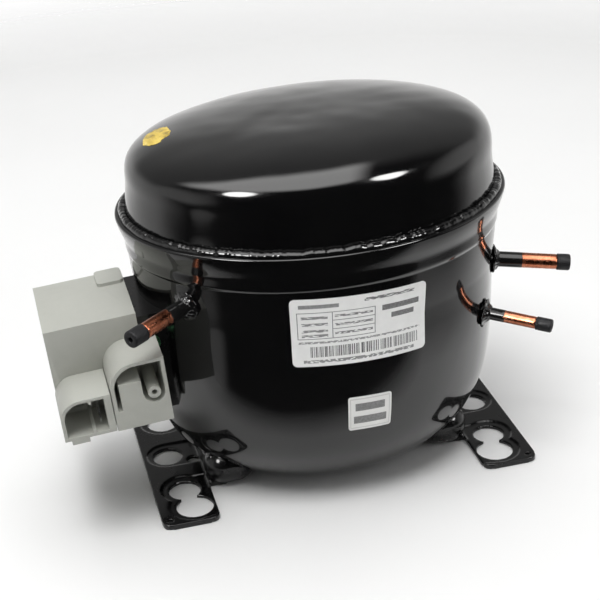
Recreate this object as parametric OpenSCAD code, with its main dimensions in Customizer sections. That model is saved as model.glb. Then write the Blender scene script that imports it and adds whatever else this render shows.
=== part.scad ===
// Hermetic reciprocating compressor: welded oval shell on two stamped feet,
// sprung motor and pump inside, electrical box on one end, three stub tubes.
// Millimetres, +Z up. Origin: centre of the bolt pattern, underside of the feet.

/* [Shell] */
// Half length of the lower shell below the rim
shell_a = 98; // [97:0.5:99]
// Half width of the lower shell below the rim
shell_b = 79.2; // [78.5:0.1:79.8]
// Sheet thickness of both shell halves
sheet = 3; // [2.5:0.1:3.2]
// Inward slope of the side walls per millimetre
wall_slope = 0.08; // [0.06:0.01:0.09]
// Squareness of the bowl at the bottom of the lower shell
bowl_power = 3.75; // [3.4:0.05:4]
// Underside of the bowl above the underside of the feet
bowl_z = 0.4; // [0.3:0.1:1]
// Squareness of the dome of the upper shell
dome_power = 3.3; // [3:0.1:3.6]
// Height of the dome above its shoulder
dome_h = 25.5; // [24:0.5:27]

/* [Feet] */
// Thickness of the stamped feet
foot_t = 3; // [2.5:0.1:3]
// Depth of the dished areas round the foot holes
dish_d = 1; // [0.4:0.1:1.2]
// Wide hole pattern, spacing along X
pat1_x = 165.1; // [165:0.1:166]
// Wide hole pattern, spacing along Y
pat1_y = 101.6; // [101:0.1:102]
// Second hole pattern, spacing along X
pat2_x = 170; // [169.5:0.1:170.5]
// Second hole pattern, spacing along Y
pat2_y = 70; // [69.5:0.1:70.5]
// Radius of the large grommet lobe
lobe1_r = 9.6; // [9.4:0.05:9.7]
// Radius of the small grommet lobe
lobe2_r = 8.25; // [8.1:0.05:8.4]

/* [Pump] */
// Cylinder bore diameter
bore_d = 22.5; // [22:0.1:23]
// Piston stroke
stroke = 16; // [14:0.5:16]
// Connecting rod length between centres
rod_l = 44; // [43:0.5:44]
// Height of the cylinder axis
cyl_z = 132; // [131.5:0.5:132]

/* [Motor] */
// Side of the stator stack
stator_w = 106; // [100:1:106]
// Radius of the stator bore
stator_r = 29.4; // [29.3:0.05:29.6]
// Radius of the rotor
rotor_r = 29; // [28.8:0.1:29]
// Number of stator slots
slots = 24; // [18:6:24]

/* [Tubes] */
// Outer diameter of the suction tube
suction_d = 8; // [7.9:0.1:8.1]
// Outer diameter of the discharge tube
discharge_d = 6.35; // [6.3:0.05:6.5]
// Outer diameter of the process tube
process_d = 8; // [7.9:0.1:8.1]

/* [Electrical box] */
// Depth of the box away from the shell
box_x = 46; // [45:0.5:46]
// Width of the box
box_y = 52.4; // [52:0.2:53]
// Height of the box
box_z = 60; // [59:0.5:60]
// Moulded wall thickness
box_t = 1.8; // [1.6:0.1:2]

/* [Hidden] */
$fn = 48;

N = 72;               // points round each oval
zs = 103;             // where the bowl meets the side wall
rim_z = 146;          // top of the flared rim
cap_z = 139;          // lower edge of the upper shell
shoulder_z = 164;     // where the dome starts
cap_a = 94.3;
cap_b = 77;
crank_r = stroke / 2;
pin_x = crank_r + rod_l;     // wrist pin at top dead centre
deck_x = 64;                 // face of the cylinder block
bolt_xy = 38;                // stator bolts and springs
box_at = [-98.4, -10, 79.4]; // centre of the box's open side
box_tilt = -3.9;
black = [0.05, 0.05, 0.055];
steel = [0.62, 0.63, 0.65];
copper = [0.72, 0.38, 0.26];
grey = [0.72, 0.72, 0.68];

// ---- oval surfaces -------------------------------------------------------
function wall_a(z) = shell_a - wall_slope * (141 - max(z, zs));
function wall_b(z) = shell_b - wall_slope * (141 - max(z, zs));
function crown(z) = z >= zs ? 1 : pow(max(1 - pow((zs - z) / (zs - bowl_z), bowl_power), 0), 1 / bowl_power);
function bowl_at(x, y) = let(r = min(norm([x / wall_a(zs), y / wall_b(zs)]), 0.999))
  zs - (zs - bowl_z) * pow(1 - pow(r, bowl_power), 1 / bowl_power);
function side_pt(t, z, o = 0) = [(wall_a(z) * crown(z) + o) * cos(t), (wall_b(z) * crown(z) + o) * sin(t), z];
function dome_pt(t, p, o = 0) = let(c = pow(cos(p), 2 / dome_power), s = pow(sin(p), 2 / dome_power),
  x = (cap_a + o) * c * cos(t), y = (cap_b + o) * c * sin(t))
  [x, y, shoulder_z + (dome_h + o) * s * (1 + 0.13 * x / 100 - 0.15 * y / 100)];
function oval(a, b, z, n = N) = [for (i = [0 : n - 1]) [a * cos(360 * i / n), b * sin(360 * i / n), z]];
function dome_ring(p, o) = [for (i = [0 : N - 1]) dome_pt(360 * i / N, p, o)];

// skin through rings of equal length; closed = joined last to first
module skin(rings, closed = false) {
  k = len(rings); m = len(rings[0]);
  last = closed ? k - 1 : k - 2;
  polyhedron(points = [for (r = rings) each r],
    faces = concat(
      [for (j = [0 : last], i = [0 : m - 1]) let(a = j * m + i, b = j * m + (i + 1) % m,
        c = ((j + 1) % k) * m + (i + 1) % m, d = ((j + 1) % k) * m + i) each [[a, c, b], [a, d, c]]],
      closed ? [] : [[for (i = [0 : m - 1]) i], [for (i = [m - 1 : -1 : 0]) (k - 1) * m + i]]));
}
// solid outline of the lower shell up to the flare, grown by o
module bowl_solid(o = 0, n = 48) {
  skin([for (p = [89, 80, 68, 55, 42, 30, 18, 8]) let(c = pow(cos(p), 2 / bowl_power))
      oval((wall_a(zs) + o) * c, (wall_b(zs) + o) * c, zs - (zs - bowl_z + o) * pow(sin(p), 2 / bowl_power), n),
    oval(wall_a(zs) + o, wall_b(zs) + o, zs, n), oval(wall_a(132) + o, wall_b(132) + o, 132, n)]);
}
// thin patch lying on a surface: f(u, v, offset) over u0..u1, v0..v1
module side_patch(t0, t1, z0, z1, nt, nz, o0, o1) {
  skin([for (i = [0 : nt]) let(t = t0 + (t1 - t0) * i / nt, e = (i == 0 || i == nt) ? 1.2 : 0)
    concat([for (j = [0 : nz]) side_pt(t, z0 + e + (z1 - z0 - 2 * e) * j / nz, o1)],
           [for (j = [nz : -1 : 0]) side_pt(t, z0 + e + (z1 - z0 - 2 * e) * j / nz, o0)])]);
}

// ---- helpers -------------------------------------------------------------
module along(p, az, drop) { translate(p) rotate([0, 90 + drop, az]) children(); }
module at_corners(d) for (x = [-d, d], y = [-d, d]) translate([x, y, 0]) children();
module ring(r1, r0, h) difference() { cylinder(r = r1, h = h); translate([0, 0, -1]) cylinder(r = r0, h = h + 2); }
module in_box() { translate(box_at) rotate([0, box_tilt, 0]) children(); }
module xcyl(r, x0, x1) translate([x0, 0, 0]) rotate([0, 90, 0]) cylinder(r = r, h = x1 - x0);
module ycyl(r, y0, y1) translate([0, y1, 0]) rotate([90, 0, 0]) cylinder(r = r, h = y1 - y0);
module span(a, b) translate(a) cube(b - a);

function unit(v) = v / norm(v);
function mix4(a, b, c, d, s) = a * pow(1 - s, 3) + b * 3 * s * pow(1 - s, 2) + c * 3 * s * s * (1 - s) + d * pow(s, 3);
// smooth curve through given points
function spline(p, n) = let(k = len(p)) concat([for (i = [0 : k - 2], j = [0 : n - 1])
    let(a = p[i], d = p[i + 1], ta = (p[i + 1] - p[max(i - 1, 0)]) / (i == 0 ? 1 : 2),
        td = (p[min(i + 2, k - 1)] - p[i]) / (i == k - 2 ? 1 : 2))
    mix4(a, a + ta / 3, d - td / 3, d, j / n)], [p[k - 1]]);
// round bar swept along points
module sweep(p, r, m, up = [0, 0, 1]) {
  k = len(p);
  skin([for (i = [0 : k - 1]) let(t = unit(p[min(i + 1, k - 1)] - p[max(i - 1, 0)]),
      u = unit(cross(t, up)), v = cross(t, u))
    [for (j = [0 : m - 1]) p[i] + r * (u * cos(-360 * j / m) + v * sin(-360 * j / m))]]);
}

// ---- shell ---------------------------------------------------------------
suction_p = [91.3, -20.8, 101.3]; suction_az = -17.2; suction_drop = 4.6;
discharge_p = [79.7, -41.2, 81.4]; discharge_az = -36.5; discharge_drop = 4.6;
process_p = [-76.4, -46.7, 115.6]; process_az = -140.3; process_drop = 0;

module lower_shell() color(black) difference() {
  skin(concat(
    [for (p = [89.5, 86, 81, 75, 68, 61, 54, 47, 40, 33, 26, 19, 12, 5]) let(c = pow(cos(p), 2 / bowl_power))
      oval(wall_a(zs) * c, wall_b(zs) * c, zs - (zs - bowl_z) * pow(sin(p), 2 / bowl_power))],
    [oval(wall_a(zs), wall_b(zs), zs), oval(wall_a(127), wall_b(127), 127),
     oval(wall_a(128.4) + 0.5, wall_b(128.4) + 0.5, 128.4), oval(wall_a(134) + 0.5, wall_b(134) + 0.5, 134),
     oval(shell_a + 1.6, shell_b + 1.2, 138), oval(shell_a + 2.7, shell_b + 1.9, 142),
     oval(shell_a + 3.4, shell_b + 2.4, rim_z), oval(shell_a + 0.7, shell_b - 0.1, rim_z),
     oval(shell_a - 0.1, shell_b - 0.9, 142), oval(shell_a - 1.2, shell_b - 1.5, 138),
     oval(wall_a(134) - sheet, wall_b(134) - sheet, 133), oval(wall_a(zs) - sheet, wall_b(zs) - sheet, zs)],
    [for (p = [5, 12, 19, 26, 33, 40, 47, 54, 61, 68, 75, 81, 86, 89.5]) let(c = pow(cos(p), 2 / bowl_power))
      oval((wall_a(zs) - sheet) * c, (wall_b(zs) - sheet) * c, zs - (zs - bowl_z - sheet) * pow(sin(p), 2 / bowl_power))]));
  along(suction_p, suction_az, suction_drop) translate([0, 0, -12]) cylinder(r = 5.6, h = 20);
  along(discharge_p, discharge_az, discharge_drop) translate([0, 0, -12]) cylinder(r = 5.1, h = 20);
  along(process_p, process_az, process_drop) translate([0, 0, -12]) cylinder(r = 5.6, h = 20);
  in_box() xcyl(15, -2, 16);
}

module upper_shell() color(black) skin(concat(
  [for (p = [89.5, 85, 78, 70, 62, 53, 44, 35, 26, 17, 8]) dome_ring(p, 0)],
  [oval(cap_a, cap_b, shoulder_z), oval(cap_a + 1.3, cap_b + 0.15, 152), oval(cap_a + 1.8, cap_b + 0.2, cap_z),
   oval(cap_a + 1.8 - sheet, cap_b + 0.2 - sheet, cap_z), oval(cap_a + 1.3 - sheet, cap_b + 0.15 - sheet, 152),
   oval(cap_a - sheet, cap_b - sheet, shoulder_z)],
  [for (p = [8, 17, 26, 35, 44, 53, 62, 70, 78, 85, 89.5]) dome_ring(p, -sheet)]));

module weld_bead() color([0.12, 0.12, 0.12]) skin([
  oval(cap_a + 1.85, cap_b + 0.25, 143), oval(cap_a + 3.1, cap_b + 0.9, 143.2),
  oval(shell_a + 0.5, shell_b - 0.3, 146), oval(shell_a + 0.9, shell_b + 0.1, 147.6),
  oval(cap_a + 3.4, cap_b + 1.2, 149.2), oval(cap_a + 1.8, cap_b + 0.26, 148.6)], closed = true);

// ---- feet ----------------------------------------------------------------
module rounded(a, b, r) {
  translate([a[0] + r, a[1]]) square([b[0] - a[0] - 2 * r, b[1] - a[1]]);
  translate([a[0], a[1] + r]) square([b[0] - a[0], b[1] - a[1] - 2 * r]);
  for (x = [a[0] + r, b[0] - r], y = [a[1] + r, b[1] - r]) translate([x, y]) circle(r = r);
}
module dish() union() {
  hull() {
    translate([pat1_x / 2, pat1_y / 2]) circle(r = lobe1_r + 4);
    translate([71.7, pat1_y / 2 - 14]) square([4, 26]);
  }
  translate([pat2_x / 2, pat2_y / 2]) circle(r = lobe2_r + 4.4);
  translate([71.7, 24]) square([12, 18]);
}
module foot() difference() {
  union() {
    linear_extrude(foot_t) union() {
      rounded([71.4, -66], [101.4, 66], 5);
      rounded([60, -34], [80, 34], 4);
    }
    // turned-up flange that meets the bowl
    rotate([90, 0, 90]) translate([0, 0, 68.2]) linear_extrude(3) polygon(
      concat([[-33, 0]], [for (y = [-33 : 3 : 33]) [y, bowl_at(68.4, y) - 0.1]], [[33, 0]]));
    // rounded saddle cups under the bowl
    for (s = [-1, 1]) intersection() {
      translate([0, s * 29, 11]) union() {
        translate([56.5, 0, 0]) sphere(r = 11);
        xclip(56.5, 62, 11);
        translate([62, 0, 0]) sphere(r = 11);
      }
      span([40, -45, 0], [76, 45, 19]);
    }
  }
  for (s = [-1, 1]) {
    translate([pat1_x / 2, s * pat1_y / 2, -1]) cylinder(r = lobe1_r, h = 8);
    translate([pat2_x / 2, s * pat2_y / 2, -1]) cylinder(r = lobe2_r, h = 8);
    translate([97.2, s * 61.5, -1]) cylinder(r = 1.5, h = 8);
  }
  translate([88, 0, -1]) cylinder(r = 8, h = 8);
  translate([75.2, 7, -1]) cylinder(r = 3, h = 8);
  // dished pressings round the holes
  translate([0, 0, foot_t - dish_d]) linear_extrude(4) {
    dish();
    mirror([0, 1, 0]) dish();
    hull() { translate([88, 0]) circle(r = 11.5); translate([71.7, -11.5]) square([4, 23]); }
  }
  bowl_solid(-0.1);
}
module xclip(x0, x1, r) translate([x0, 0, 0]) rotate([0, 90, 0]) cylinder(r = r, h = x1 - x0);
module right_foot() color(black) foot();
module left_foot() color(black) rotate([0, 0, 180]) foot();

// ---- tubes ---------------------------------------------------------------
module stub(d, t, l) translate([0, 0, -12]) ring(d / 2, d / 2 - t, l + 12);
module collar(d, s) difference() {
  union() {
    translate([0, 0, -3.5]) cylinder(r = d / 2 + 1.5, h = 4.6);
    translate([0, 0, 0.5]) cylinder(r = s, h = 0.7);
    translate([0, 0, 1.1]) cylinder(r1 = d / 2 + 1.5, r2 = d / 2 + 0.3, h = 2.2);
  }
  translate([0, 0, -5]) cylinder(r = d / 2 + 0.02, h = 12);
}
module plug(d, l, h) difference() {
  union() {
    translate([0, 0, l - 8]) cylinder(r = d / 2 - 0.86, h = 8.5);
    translate([0, 0, l + 0.05]) cylinder(r = d / 2 + 0.35, h = h - 0.6);
    translate([0, 0, l + h - 0.55]) cylinder(r1 = d / 2 + 0.35, r2 = d / 2 - 0.1, h = 0.55);
  }
  translate([0, 0, l + h - 4.5]) cylinder(r = 1.35, h = 6);
}
module suction_tube() color(copper) along(suction_p, suction_az, suction_drop) stub(suction_d, 0.8, 34.2);
module suction_collar() color(black) along(suction_p, suction_az, suction_drop) collar(suction_d, 7.6);
module suction_plug() color([0.1, 0.1, 0.1]) along(suction_p, suction_az, suction_drop) plug(suction_d, 34.2, 7);
module discharge_tube() color(copper) along(discharge_p, discharge_az, discharge_drop) stub(discharge_d, 0.8, 27.6);
module discharge_collar() color(black) along(discharge_p, discharge_az, discharge_drop) collar(discharge_d, 7.6);
module discharge_plug() color([0.1, 0.1, 0.1]) along(discharge_p, discharge_az, discharge_drop) plug(discharge_d, 27.6, 8.4);
module process_tube() color(copper) along(process_p, process_az, process_drop) stub(process_d, 0.8, 32);
module process_collar() color(black) along(process_p, process_az, process_drop) collar(process_d, 7.4);
module process_plug() color([0.1, 0.1, 0.1]) along(process_p, process_az, process_drop) plug(process_d, 32, 9.2);

// ---- labels and paint ----------------------------------------------------
module rating_label() color("white") side_patch(-109.2, -67, 85, 122.4, 24, 6, 0.06, 0.3);
module type_label() color("white") side_patch(-93.1, -79, 44.8, 64.8, 10, 5, 0.12, 0.36);
module paint_mark() color([0.75, 0.65, 0.15]) skin([for (i = [0 : 8]) let(t = 158 + 20.8 * i / 8, w = sqrt(1 - pow(abs(i - 4) / 4.4, 2)))
  concat([for (j = [-3 : 3]) dome_pt(t, 43.8 + 9.5 * w * j / 3, 0.24)], [for (j = [3 : -1 : -3]) dome_pt(t, 43.8 + 9.5 * w * j / 3, 0.05)])]);

// ---- electrical side -----------------------------------------------------
PINS = [[0, 6.5], [-5.63, -3.25], [5.63, -3.25]];
module at_pins(list = PINS) for (p = list) translate([0, p[0], p[1]]) children();
module terminal_cup() color(steel) in_box() difference() {
  xcyl(14.95, 1, 11);
  xcyl(12.4, 0, 4);
  xcyl(12.4, 8.4, 12);
  at_pins() xcyl(3, 0, 12);
}
module terminal_glass() color([0.2, 0.35, 0.3]) in_box() at_pins() difference() { xcyl(3, 3.4, 9); xcyl(1.6, 0, 12); }
module terminal_pins() color(steel) in_box() at_pins() { xcyl(1.6, -11, 18); translate([-11, 0, 0]) sphere(r = 1.6); }
module terminal_fence() color(steel) difference() {
  in_box() difference() {
    span([-8, -23.6, -27], [16, 23.6, 27.4]);
    span([-9, -22.2, -25.6], [17, 22.2, 26]);
    translate([6.5, 0, 12]) ycyl(1.9, -30, -20);
  }
  bowl_solid(0.02);
}
module ground_screw() color([0.2, 0.5, 0.3]) in_box() translate([6.5, 0, 12]) {
  difference() {
    ycyl(3.3, -25.7, -23.65);
    span([-3, -26, -0.4], [3, -25, 0.4]);
  }
  ycyl(1.85, -23.7, -17);
}
// block outline in the X-Z plane with one large round upper corner
module arch(a, b, r) {
  translate([a[0] + r, b[1] - r]) circle(r = r);
  translate([a[0] + r, a[1]]) square([b[0] - a[0] - r, b[1] - a[1]]);
  translate(a) square([b[0] - a[0], b[1] - a[1] - r]);
}
module front(y0, y1) translate([0, y1, 0]) rotate([90, 0, 0]) linear_extrude(y1 - y0) children();
module electrical_cover() color(grey) in_box() difference() {
  union() {
    span([-box_x, -box_y / 2, -box_z / 2 + 1], [0, box_y / 2, box_z / 2 + 1]);
    translate([0, 0, 30]) linear_extrude(box_z / 2 - 27.2) rounded([-14, 10.5], [-0.4, box_y / 2], 2.4);
  }
  span([-box_x + box_t, -box_y / 2 + box_t, -box_z / 2 + 1 + box_t], [1, box_y / 2 - box_t, box_z / 2 + 1 - box_t]);
  span([-15, -30, -8], [-3, -20, 8]);
  span([-42, -30, -12], [-34, -20, 0]);
}
module relay_housing() color(grey) in_box() difference() {
  union() {
    difference() {
      front(-53, -box_y / 2) arch([-20.6, -16.5], [7.3, 18.8], 13);
      // arched recess
      front(-60, -29) intersection() {
        arch([-18.6, -14.7], [5.5, 16.9], 11.2);
        union() { translate([-19, 8.4]) square([30, 12]); translate([-19, -6]) square([2.6, 20]); translate([-5.4, 0.4]) square([11.6, 16]); }
      }
      front(-60, -29) translate([0.2, 0.4]) circle(r = 5.3);
      // room behind the face plate
      front(-50.4, -28) translate([-16.2, -14.7]) square([10, 21.4]);
      span([-15, -30, -8], [-7, -20, 6]);
    }
    front(-52.6, -28.9) translate([0.2, 0.4]) circle(r = 3.25);
  }
  front(-60, -38) translate([0.2, 0.4]) circle(r = 1.4);
}
module connector_housing() color(grey) in_box() difference() {
  union() {
    front(-53, -box_y / 2) arch([-46.6, -16], [-21, 5], 10);
    span([-43.4, -53, -18.4], [-34.6, -44, -15.9]);
  }
  front(-60, -29) arch([-44.8, -14.3], [-32.3, 3.3], 8.4);
  front(-60, -29) translate([-30.7, -14.3]) square([6.2, 17.6]);
  span([-42, -31, -12], [-34, -20, 0]);
}
module relay_case() color([0.16, 0.16, 0.17]) in_box() difference() {
  span([-25, -14, -22], [-2, 14, 1.7]);
  at_pins([PINS[1], PINS[2]]) xcyl(2.65, -15, -1);
  translate([0, 0, -12]) xcyl(8.2, -21, -17.6);
}
module ptc_pill() color([0.35, 0.33, 0.3]) in_box() translate([0, 0, -12]) xcyl(8, -20.6, -18);
module pin_sockets() color([0.75, 0.6, 0.3]) in_box() at_pins() difference() { xcyl(2.6, -14, -2.1); xcyl(1.66, -13, -1); translate([-13, 0, 0]) sphere(r = 1.66); }
module overload_case() color([0.12, 0.12, 0.13]) in_box() difference() {
  union() {
    translate([0, 0, 13.6]) xcyl(11, -20, -2);
    span([-20, -6, 2.2], [-2, 6, 10]);
  }
  at_pins([PINS[0]]) xcyl(2.65, -15, -1);
}
module spade_terminals() color(steel) in_box() {
  span([-28, -47, -12.2], [-27.2, -29, -4.2]);
  span([-31.8, -8, -10.4], [-25.1, -7.2, -4.1]);
  span([-31.8, 7.2, -10.4], [-25.1, 8, -4.1]);
}

// ---- suspension ----------------------------------------------------------
module spring_seats() color(steel) at_corners(bolt_xy) {
  translate([0, 0, 11.2]) cylinder(r = 7.4, h = 1.8);
  cylinder_up(5.1, 12.9, 24, 0.8);
}
module cylinder_up(r, z0, z1, c) {
  translate([0, 0, z0]) cylinder(r = r, h = z1 - z0 - c);
  translate([0, 0, z1 - c]) cylinder(r1 = r, r2 = r - c, h = c);
}
module suspension_springs() color(steel) at_corners(bolt_xy)
  sweep([for (i = [0 : 66]) let(a = i * 30, h = i <= 12 ? 1.9 * i / 12 : i >= 54 ? 20.7 + 1.9 * (i - 54) / 12 : 1.9 + 18.8 * (i - 12) / 42)
    [6.4 * cos(a), 6.4 * sin(a), 14.15 + h]], 0.9, 6);
module spring_caps() color([0.85, 0.84, 0.8]) at_corners(bolt_xy) {
  translate([0, 0, 37.9]) cylinder(r = 8.6, h = 2.1);
  translate([0, 0, 40]) mirror([0, 0, 1]) cylinder_up(5.1, 2, 13, 0.8);
}

// ---- motor ---------------------------------------------------------------
stack0 = 44; stack1 = 92;
module stator_core() color([0.42, 0.42, 0.44]) translate([0, 0, stack0]) linear_extrude(stack1 - stack0) difference() {
  intersection() { square(stator_w, center = true); rotate(45) square(stator_w * 1.414 - 20, center = true); }
  circle(r = stator_r);
  for (i = [0 : slots - 1]) rotate((i + 0.5) * 360 / slots) {
    translate([31.4, -2.3]) square([12.6, 4.6]);
    translate([28, -1]) square([5, 2]);
  }
  for (x = [-1, 1], y = [-1, 1]) translate([x * bolt_xy, y * bolt_xy]) circle(r = 3.1);
}
module winding(r0, r1, up, down, pick) {
  translate([0, 0, stack1 + 0.3]) ring(r1, r0, up);
  translate([0, 0, stack0 - 0.3 - down]) ring(r1, r0, down);
  for (i = pick) rotate((i + 0.5) * 360 / slots) span([r0 + 0.5, -2, stack0 - 0.5], [min(r1 - 0.5, 43.6), 2, stack1 + 0.5]);
}
module main_winding() color([0.7, 0.35, 0.15]) winding(37.5, 45, 10.5, 10.5, [for (i = [0 : slots - 1]) if (i % 3 != 2) i]);
module start_winding() color([0.6, 0.25, 0.12]) winding(31.6, 37, 7.6, 7.6, [for (i = [0 : slots - 1]) if (i % 3 == 2) i]);
module stator_bolts() color(steel) at_corners(bolt_xy) {
  translate([0, 0, 40]) cylinder(r = 4.6, h = 4, $fn = 6);
  translate([0, 0, 43.9]) cylinder(r = 3, h = 62);
}
module rotor_core() color([0.45, 0.45, 0.47]) difference() {
  translate([0, 0, stack0]) cylinder(r = rotor_r, h = stack1 - stack0);
  translate([0, 0, stack0 - 1]) cylinder(r = 8.02, h = 60);
  translate([0, 0, 61.6]) cylinder(r = 16, h = 40);
  for (i = [0 : 19]) rotate(i * 18) translate([26, 0, stack0 - 1]) cylinder(r = 1.62, h = 60);
}
module rotor_cage() color([0.78, 0.79, 0.8]) {
  translate([0, 0, stack1]) ring(28.6, 21, 6);
  translate([0, 0, stack0 - 6]) ring(28.6, 21, 6);
  for (i = [0 : 19]) rotate(i * 18) translate([26, 0, stack0 - 0.5]) cylinder(r = 1.6, h = stack1 - stack0 + 1);
}

// ---- crank train ---------------------------------------------------------
module crankshaft() color(steel) difference() {
  union() {
    translate([0, 0, 36]) cylinder(r = 8, h = 81);
    translate([0, 0, 116.3]) linear_extrude(6.5) union() {
      circle(r = 12);
      translate([crank_r, 0]) circle(r = 9.5);
      intersection() { circle(r = 22); translate([-24, -24]) square([20, 48]); }
    }
  }
  translate([0, 0, 35]) cylinder(r = 5.5, h = 27);
  translate([3, 0, 60]) cylinder(r = 1.5, h = 80);
}
module oil_pickup() color(steel) translate([0, 0, 14]) difference() {
  union() { cylinder(r1 = 3.6, r2 = 5.45, h = 9); translate([0, 0, 8.99]) cylinder(r = 5.45, h = 21); }
  translate([0, 0, -1]) cylinder(r = 2.6, h = 40);
}
module thrust_washer() color([0.75, 0.6, 0.35]) translate([0, 0, 115.03]) ring(13, 8.4, 1.2);
module crankcase() color([0.33, 0.33, 0.34]) difference() {
  union() {
    translate([0, 0, 107]) linear_extrude(8) intersection() {
      square(94, center = true);
      rotate(45) square(112, center = true);
    }
    at_corners(bolt_xy) translate([0, 0, stack1]) cylinder(r = 6.5, h = 16);
    translate([0, 0, 64]) cylinder(r = 14, h = 44);
    span([24, -20, 107], [deck_x, 20, 151]);
  }
  translate([0, 0, 60]) cylinder(r = 8.03, h = 60);
  translate([0, 0, cyl_z]) xcyl(bore_d / 2 + 0.02, 20, 70);
  at_corners(bolt_xy) translate([0, 0, 90]) cylinder(r = 3.05, h = 17);
  deck_bolts() xcyl(2.5, 48, 70);
}
module deck_bolts() for (y = [-14.2, 14.2], z = [-13.2, 13.2]) translate([0, y, cyl_z + z]) children();
module piston() color([0.55, 0.55, 0.57]) translate([0, 0, cyl_z]) difference() {
  xcyl(bore_d / 2, deck_x - 22.3, deck_x - 0.3);
  difference() {
    xcyl(8.8, deck_x - 23, pin_x + 6.6);
    for (s = [-1, 1]) translate([pin_x, 0, s * 5.1]) mirror([0, 0, s < 0 ? 1 : 0]) cylinder(r = 6.2, h = 8);
  }
  translate([pin_x, 0, -20]) cylinder(r = 3.5, h = 40);
  for (x = [deck_x - 4, deck_x - 7.5]) rotate([0, 90, 0]) translate([0, 0, x]) ring(bore_d / 2 + 1, bore_d / 2 - 0.5, 0.7);
}
module wrist_pin() color(steel) translate([pin_x, 0, cyl_z - 9.8]) ring(3.49, 1.6, 19.6);
module connecting_rod() color([0.7, 0.71, 0.72]) translate([0, 0, cyl_z]) difference() {
  union() {
    translate([crank_r, 0, -6]) cylinder(r = 11.5, h = 12);
    translate([pin_x, 0, -4.6]) cylinder(r = 6.2, h = 9.2);
    span([crank_r + 8, -3.5, -4], [pin_x - 4.6, 3.5, 4]);
  }
  translate([crank_r, 0, -10]) cylinder(r = 7.03, h = 20);
  translate([pin_x, 0, -10]) cylinder(r = 3.53, h = 20);
}
module crank_pin() color(steel) translate([crank_r, 0, 123.15]) difference() { cylinder(r = 7, h = 17); translate([0, 0, 4]) cylinder(r = 2, h = 20); }

// ---- valves and head -----------------------------------------------------
module deck_plate(x0, x1) difference() {
  span([x0, -20, cyl_z - 19], [x1, 20, cyl_z + 19]);
  deck_bolts() xcyl(2.55, 60, 90);
}
module plate_gasket() color([0.55, 0.35, 0.25]) difference() { deck_plate(64, 64.4); translate([0, 0, cyl_z]) xcyl(11.9, 60, 70); }
module suction_reed() color(steel) difference() {
  deck_plate(64.4, 64.7);
  translate([0, 0, cyl_z]) difference() { xcyl(10.4, 60, 70); span([60, -2.6, -11], [70, 2.6, -1]); translate([0, 0, -4]) xcyl(4.4, 60, 70); }
  translate([0, 0, cyl_z + 6]) xcyl(3.4, 60, 70);
}
module valve_plate() color([0.5, 0.5, 0.52]) difference() {
  deck_plate(64.7, 67.7);
  translate([0, 0, cyl_z - 4.5]) xcyl(3.2, 60, 70);
  translate([0, 0, cyl_z + 6]) xcyl(2.6, 60, 70);
}
module discharge_reed() color(steel) difference() {
  union() {
    span([67.72, -2.4, cyl_z + 6], [68.02, 2.4, cyl_z + 13]);
    translate([0, 0, cyl_z + 6]) xcyl(3.9, 67.72, 68.02);
  }
  translate([0, 0, cyl_z + 11.4]) xcyl(0.8, 60, 70);
}
module head_gasket() color([0.55, 0.35, 0.25]) difference() {
  deck_plate(67.7, 68.2);
  span([60, -10, cyl_z - 12], [70, 10, cyl_z - 1]);
  span([60, -9, cyl_z + 1], [70, 9, cyl_z + 14]);
}
module cylinder_head() color([0.74, 0.75, 0.76]) difference() {
  deck_plate(68.2, 80);
  span([68, -10, cyl_z - 12], [76, 10, cyl_z - 1]);
  span([68, -9, cyl_z + 1], [76, 9, cyl_z + 14]);
  translate([72, 0, cyl_z - 6.4]) ycyl(2.6, -21, -5);
}
module head_bolts() color(steel) deck_bolts() { xcyl(2.45, 50, 81); translate([80.02, 0, 0]) rotate([0, 90, 0]) cylinder(r = 4.4, h = 3.6, $fn = 6); }
module suction_muffler() color([0.9, 0.89, 0.84]) difference() {
  union() {
    span([28, -50, 118], [56, -24, 156]);
    span([56, -27, 121], [78, -20.05, 130]);
    span([50, -27, 121], [57, -23, 130]);
  }
  span([29.6, -48.4, 119.6], [54.4, -25.6, 154.4]);
  span([50, -25.5, 122.4], [76.4, -21.6, 128.6]);
  translate([72, 0, cyl_z - 6.4]) ycyl(2.4, -24, -19);
  translate([34, 0, 126]) ycyl(3, -52, -46);
}
module discharge_muffler() color(steel) translate([38, 34, 115.05]) {
  difference() {
    union() { cylinder(r = 13, h = 22); translate([0, 0, 21.99]) cylinder(r1 = 13, r2 = 8, h = 4); }
    translate([0, 0, -1]) cylinder(r = 11.6, h = 22.4);
    cylinder(r = 2.5, h = 30);
  }
}
module shock_loop() color([0.7, 0.4, 0.28]) sweep(spline([[38, 34, 138], [38.5, 34.5, 148], [50, 40, 148], [60, 38, 128], [67, 30, 106],
  [68, 12, 98], [62, -6, 96], [58.5, -20, 91], [62.5, -28.5, 84.6], [68.4, -32.9, 82.5]], 5), 2.3, 8, [0.3, 0.2, 1]);
module cluster_plug() color([0.9, 0.9, 0.85]) in_box() difference() {
  span([11.6, -11, -9], [20, 11, 11]);
  at_pins() xcyl(1.66, 10, 18.4);
}
module motor_leads() color([0.2, 0.3, 0.6]) for (d = [-5, 0, 5])
  sweep(spline([[-78.05, -10 + d, 80], [-70, -10 + d, 81], [-61, -10 + d, 92], [-56, -10 + d, 100], [-46.4, -10 + d, 99]], 5), 1.2, 6, [0, 1, 0.1]);

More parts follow.
